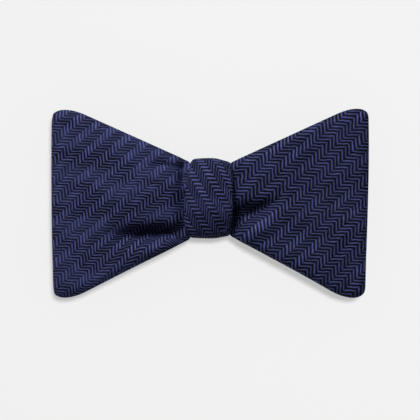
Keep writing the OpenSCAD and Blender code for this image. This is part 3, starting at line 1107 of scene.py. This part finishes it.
@dataclass
class Band:
    """A length of the strap: its curve seen from the side, and how it rides."""

    name: str
    curve: list[Plan]
    start: float
    rides: Callable[[bpy.types.Object], None]
    nodes: tuple[str, ...]
    held: str = "folded"
    rests_on: tuple[str, ...] = ("knot_silk",)
    filling: str | None = None
    half_width: float = 8.0
    middle: float = KNOT_MIDDLE.y
    thickness: float = HEIGHTS.strap
    across: int = 20

    def __post_init__(self) -> None:
        """Puts enough points along the curve."""
        self.profile = Profile(self.curve).refined(1.2)

    def place(self, along: float, up: float, inset: float = 0.0) -> tuple[Vector, Plan, float]:
        """Where a point of the strap is.

        Args:
            along: Its share of the piece's points.
            up: Its share of the way across the strap.
            inset: How far in from the strap's edges the cloth ends.

        Returns:
            The place, the flat cloth's coordinates and how full the strap is there.
        """
        index = round(along * (len(self.profile.points) - 1))
        spot, gone = self.profile.points[index], self.profile.reached[index] + self.start
        offset = -math.cos(up * math.pi) * 0.55 + (2 * up - 1) * 0.45
        y = offset * (self.half_width - inset)
        sag = 0.07 * noise.noise(Vector((gone * 0.11, y * 0.12, 4.0)))
        y += 0.18 * noise.noise(Vector((gone * 0.05, 0.0, 8.0)))
        edge = self.half_width - abs(y)
        return (Vector((spot.x, self.middle + y, spot.y + sag)), (gone, y),
                smooth(-0.5, 0.8, edge))

    def build(self) -> None:
        steps = (len(self.profile.points) - 1, self.across)
        silk = Sheet(self.name, steps, self.place, self.thickness, 0, 0.4).build()
        dress(silk, Finish.STRAP_SILK, "strap_silk")
        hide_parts(*self.nodes)
        self.rides(silk)
        if self.filling:
            canvas = Sheet(self.name + "_interlining", steps,
                           lambda along, up: self.place(along, up, 0.9), 0.3, 0, 1.0).build()
            dress(canvas, Finish.CANVAS, "interlining")
            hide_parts(self.filling)
            self.rides(canvas)
        length = self.profile.length
        max(length, 10.0) * MM
        2 * self.half_width * MM
        list(self.rests_on)
        length * 2 * self.half_width * MM * MM


@dataclass
class Strap:
    """The neck strap: one band, folded behind the bow, from the eye to the slide."""

    right: float = node_box("strap_run_1")[1].x
    left: float = node_box("strap_run_2")[0].x
    eye: float = node_box("strap_run_1")[0].x
    hook: float = node_box("strap_run_4")[0].x
    slide: float = middle_of("slide_adjuster").x
    hook_bar: float = middle_of("strap_end_turn").z
    back: float = middle_of("strap_return").z
    turned_in: float = 10.0
    split: float = 10.0
    last_split: float = 50.0
    sewn_at: float = 33.0
    shrink: float = 0.532

    def bands(self) -> list[Band]:
        """The strap's pieces in order, each with the length of strap before it."""
        z1, z2, z3, z4 = HEIGHTS.run_1, HEIGHTS.run_2, HEIGHTS.run_3, HEIGHTS.run_4
        turn = (self.back - z4) / 2
        eye_z = z1 - turn
        parts = [
            ("strap_eye_turn", [(self.eye + self.turned_in, eye_z - turn), *arc(
                (self.eye, eye_z), turn, 270, 90)], self._ride("knot"), ("eye_turn",), None),
            ("strap_first_length", [(self.eye, z1), *arc(
                (self.right, (z1 + z2) / 2), (z1 - z2) / 2, 90, -90), (self.split, z2)],
             self._bend("knot", "second_run", z1, z2), ("strap_run_1", "strap_fold_1"),
             "strap_run_1_interlining"),
            ("strap_second_length", [(self.split, z2), *arc(
                (self.left, (z2 + z3) / 2), (z2 - z3) / 2, 90, 270), (self.split, z3)],
             self._bend("second_run", "third_run", z2, z3), ("strap_run_2", "strap_fold_2"),
             "strap_run_2_interlining"),
            ("strap_third_length", [(self.split, z3), *arc(
                (self.right, (z3 + z4) / 2), (z3 - z4) / 2, 90, -90), (self.last_split, z4)],
             self._bend("third_run", "fourth_run", z3, z4), ("strap_run_3", "strap_fold_3"),
             "strap_run_3_interlining"),
            ("strap_hook_length", [(self.last_split, z4), *arc(
                (self.hook, self.hook_bar), turn, 270, 90)], self._stretch,
             ("strap_run_4", "strap_end_turn"), "strap_run_4_interlining"),
            ("strap_return_length", [(self.hook, self.back), (self.sewn_at, self.back)],
             self._shorten, ("strap_return",), None),
            ("strap_slide_loop", [*bezier(
                (self.sewn_at, self.back), (self.sewn_at + 1.2, self.back),
                (self.slide - 1.4, self.back + turn), (self.slide, self.back + turn), 8), *arc(
                (self.slide, self.back), turn, 90, -90), (self.sewn_at - 4, self.back - 1.1)],
             self._ride("slide"), (), None),
        ]
        gone, bands = 0.0, []
        for name, curve, rides, nodes, filling in parts:
            bands.append(Band(name, curve, gone, rides, nodes, filling=filling))
            gone += bands[-1].profile.length
        return bands

    @staticmethod
    def _ride(body: str) -> Callable[[bpy.types.Object], None]:
        """A way to join a piece to one body."""
        return lambda piece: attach(piece, body)

    @staticmethod
    def _bend(before: str, after: str, top: float, bottom: float
              ) -> Callable[[bpy.types.Object], None]:
        """A way to bake a piece's placement into its mesh."""
        return lambda piece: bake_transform(piece)

    def _stretch(self, piece: bpy.types.Object) -> None:
        """Bakes a piece's placement into its mesh."""
        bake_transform(piece)

    def _shorten(self, piece: bpy.types.Object) -> None:
        """Joins the returning length to the strap end's body and gives it a mesh of its own."""
        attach(piece, "strap_end")
        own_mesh(piece)

    def build(self) -> None:
        """Builds every length of the strap."""
        for band in self.bands():
            band.build()


# ---------------------------------------------------------------- hardware and thread


@dataclass
class Hardware:
    """The slide, the hook and the eye, with their stamped edges broken."""

    edge: float = 0.14
    rounds: int = 2
    slots: dict[str, str] = field(default_factory=lambda: {
        "slide_adjuster": "slide_metal", "hook": "hook_metal", "eye": "eye_metal"})

    def build(self) -> None:
        """Bevels and plates each fitting where it stands."""
        for node, slot in self.slots.items():
            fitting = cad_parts[node]
            bevel = fitting.modifiers.new("broken edge", "BEVEL")
            bevel.width = self.edge * MM
            bevel.segments = self.rounds
            bevel.limit_method = "ANGLE"
            bevel.angle_limit = math.radians(40)
            bevel.harden_normals = True
            dress(fitting, Finish.PLATE, slot)


@dataclass
class Stitches:
    """A row of short stitches that dip into the cloth at both ends."""

    node: str
    body: str
    count: int
    pitch: Plan
    length: float
    slant: float
    bulge: float
    radius: float = 0.16
    around: int = 10
    along: int = 14

    def build(self) -> None:
        """Builds the row as one piece of thread."""
        bm = bmesh.new()
        weave = bm.loops.layers.uv.new("Weave")
        middle = middle_of(self.node)
        for index in range(self.count):
            shift = index - (self.count - 1) / 2
            centre = middle + Vector((shift * self.pitch[0], shift * self.pitch[1], 0))
            self._stitch(bm, weave, centre, index)
        bmesh.ops.remove_doubles(bm, verts=bm.verts[:], dist=0.004 * MM)
        bmesh.ops.holes_fill(bm, edges=bm.edges[:], sides=self.around)
        bmesh.ops.recalc_face_normals(bm, faces=bm.faces[:])
        for face in bm.faces:
            face.smooth = True
        piece = new_piece(self.node + "_thread", bm)
        dress(piece, Finish.THREAD, "thread")
        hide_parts(self.node)
        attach(piece, self.body)

    def _stitch(self, bm: bmesh.types.BMesh, weave: bmesh.types.BMLayerItem, centre: Vector,
                index: int) -> None:
        """Adds one stitch: a grid that is rolled into a tube along an arc."""
        made = bmesh.ops.create_grid(bm, x_segments=self.along, y_segments=self.around, size=0.5)
        turn = math.radians(self.slant + 5 * math.sin(index * 2.4))
        along_axis = Vector((math.cos(turn), math.sin(turn), 0))
        side = Vector((-math.sin(turn), math.cos(turn), 0))
        flat = {}
        for vert in made["verts"]:
            share, angle = vert.co.x * 2, (vert.co.y + 0.5) * 2 * math.pi
            rise = self.bulge * (0.6 - share ** 4 * 1.6)
            tube = side * math.cos(angle) + Vector((0, 0, math.sin(angle)))
            flat[vert] = (vert.co.x * self.length, angle * self.radius)
            vert.co = (centre + along_axis * (share * self.length / 2) + Vector((0, 0, rise))
                       + tube * self.radius) * MM
        for face in {face for vert in made["verts"] for face in vert.link_faces}:
            for loop in face.loops:
                loop[weave].uv = flat[loop.vert]


def build_stitches() -> None:
    """Builds the stitches behind the knot and the tacks on the strap."""
    Stitches("knot_stitches", "knot", 7, (2.1, 0.0), 3.0, 60.0, -0.22).build()
    Stitches("eye_tack", "knot", 5, (0.0, 3.0), 2.2, 35.0, -0.2).build()
    Stitches("slide_tack", "slide", 5, (0.0, 3.0), 2.2, 35.0, 0.2).build()


# ---------------------------------------------------------------- studio


@dataclass(frozen=True)
class Studio:
    """The pale floor, the soft light and the camera that looks straight down."""

    paper: Colour = (0.30, 0.30, 0.30)
    glow: float = 0.445
    sky: float = 0.26
    backdrop: float = 0.87
    key_power: float = 16.0
    key_place: tuple[float, float, float] = (-0.22, 0.62, 0.62)
    key_size: float = 0.35
    top_power: float = 18.0
    top_place: tuple[float, float, float] = (0.085, 0.125, 1.2)
    top_size: float = 0.12
    lens: float = 150.0
    view_width: float = 159.1
    view_centre: Plan = (0.0, -2.6)
    focus_height: float = 17.0

    def build(self) -> None:
        """Makes the floor, the lights and the camera."""
        bpy.context.scene.view_settings.view_transform = "Standard"
        floor = self._floor()
        self._world()
        self._lamp("key", self.key_power, self.key_size, self.key_place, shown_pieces())
        self._lamp("paper light", self.top_power, self.top_size, self.top_place, [floor])
        self._camera()

    def _floor(self) -> bpy.types.Object:
        """A sheet of white paper that glows a little, so that it stays evenly pale."""
        bm = bmesh.new()
        bmesh.ops.create_grid(bm, x_segments=1, y_segments=1, size=3.0)
        floor = new_piece("paper", bm)
        nodes = Nodes(bpy.data.materials.new("white paper"))
        floor.data.materials.append(nodes.finish({
            "Base Color": (*self.paper, 1.0), "Roughness": 1.0, "Specular IOR Level": 0.0,
            "Emission Color": (1.0, 1.0, 1.0, 1.0), "Emission Strength": self.glow}))
        floor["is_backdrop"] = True
        return floor

    def _world(self) -> None:
        """Even light from all round, and a pale backdrop behind the object."""
        nodes = Nodes(bpy.data.worlds.new("studio"))
        bpy.context.scene.world = nodes.owner
        seen = nodes.add("ShaderNodeLightPath").outputs["Is Camera Ray"]
        glow, backdrop = (
            nodes.add("ShaderNodeBackground", None, {"Color": (grey, grey, grey, 1.0)}).outputs[0]
            for grey in (self.sky, self.backdrop))
        either = nodes.add("ShaderNodeMixShader", None, {0: seen, 1: glow, 2: backdrop})
        nodes.add("ShaderNodeOutputWorld", None, {"Surface": either.outputs[0]})

    @staticmethod
    def _lamp(name: str, power: float, size: float, place: tuple[float, float, float],
              lit: Iterable[bpy.types.Object]) -> None:
        """Adds a soft square light that points at the bow.

        Args:
            name: The light's name.
            power: Its power in watts.
            size: The length of its side, in metres.
            place: Where it is, in metres.
            lit: The objects that it lights. Everything casts a shadow in it.
        """
        light = bpy.data.lights.new(name, "AREA")
        light.energy = power
        light.size = size
        lamp = bpy.data.objects.new(name, light)
        bpy.context.scene.collection.objects.link(lamp)
        lamp.location = place
        lamp.rotation_euler = (-Vector(place)).to_track_quat("-Z", "Y").to_euler()
        receivers = bpy.data.collections.new("lit by the " + name)
        for item in lit:
            receivers.objects.link(item)
        lamp.light_linking.receiver_collection = receivers

    def _camera(self) -> None:
        """A long lens straight above the bow."""
        data = bpy.data.cameras.new("camera")
        data.lens = self.lens
        camera = bpy.data.objects.new("camera", data)
        bpy.context.scene.collection.objects.link(camera)
        distance = self.view_width * self.lens / data.sensor_width
        camera.location = Vector((*self.view_centre, self.focus_height + distance)) * MM
        bpy.context.scene.camera = camera


def main() -> None:
    """Builds the bow tie, then the studio round it."""
    logging.basicConfig(level=logging.INFO, format="%(message)s")
    Wings().build()
    Knot().build()
    Strap().build()
    Hardware().build()
    build_stitches()
    Studio().build()


if __name__ == "__main__":
    main()
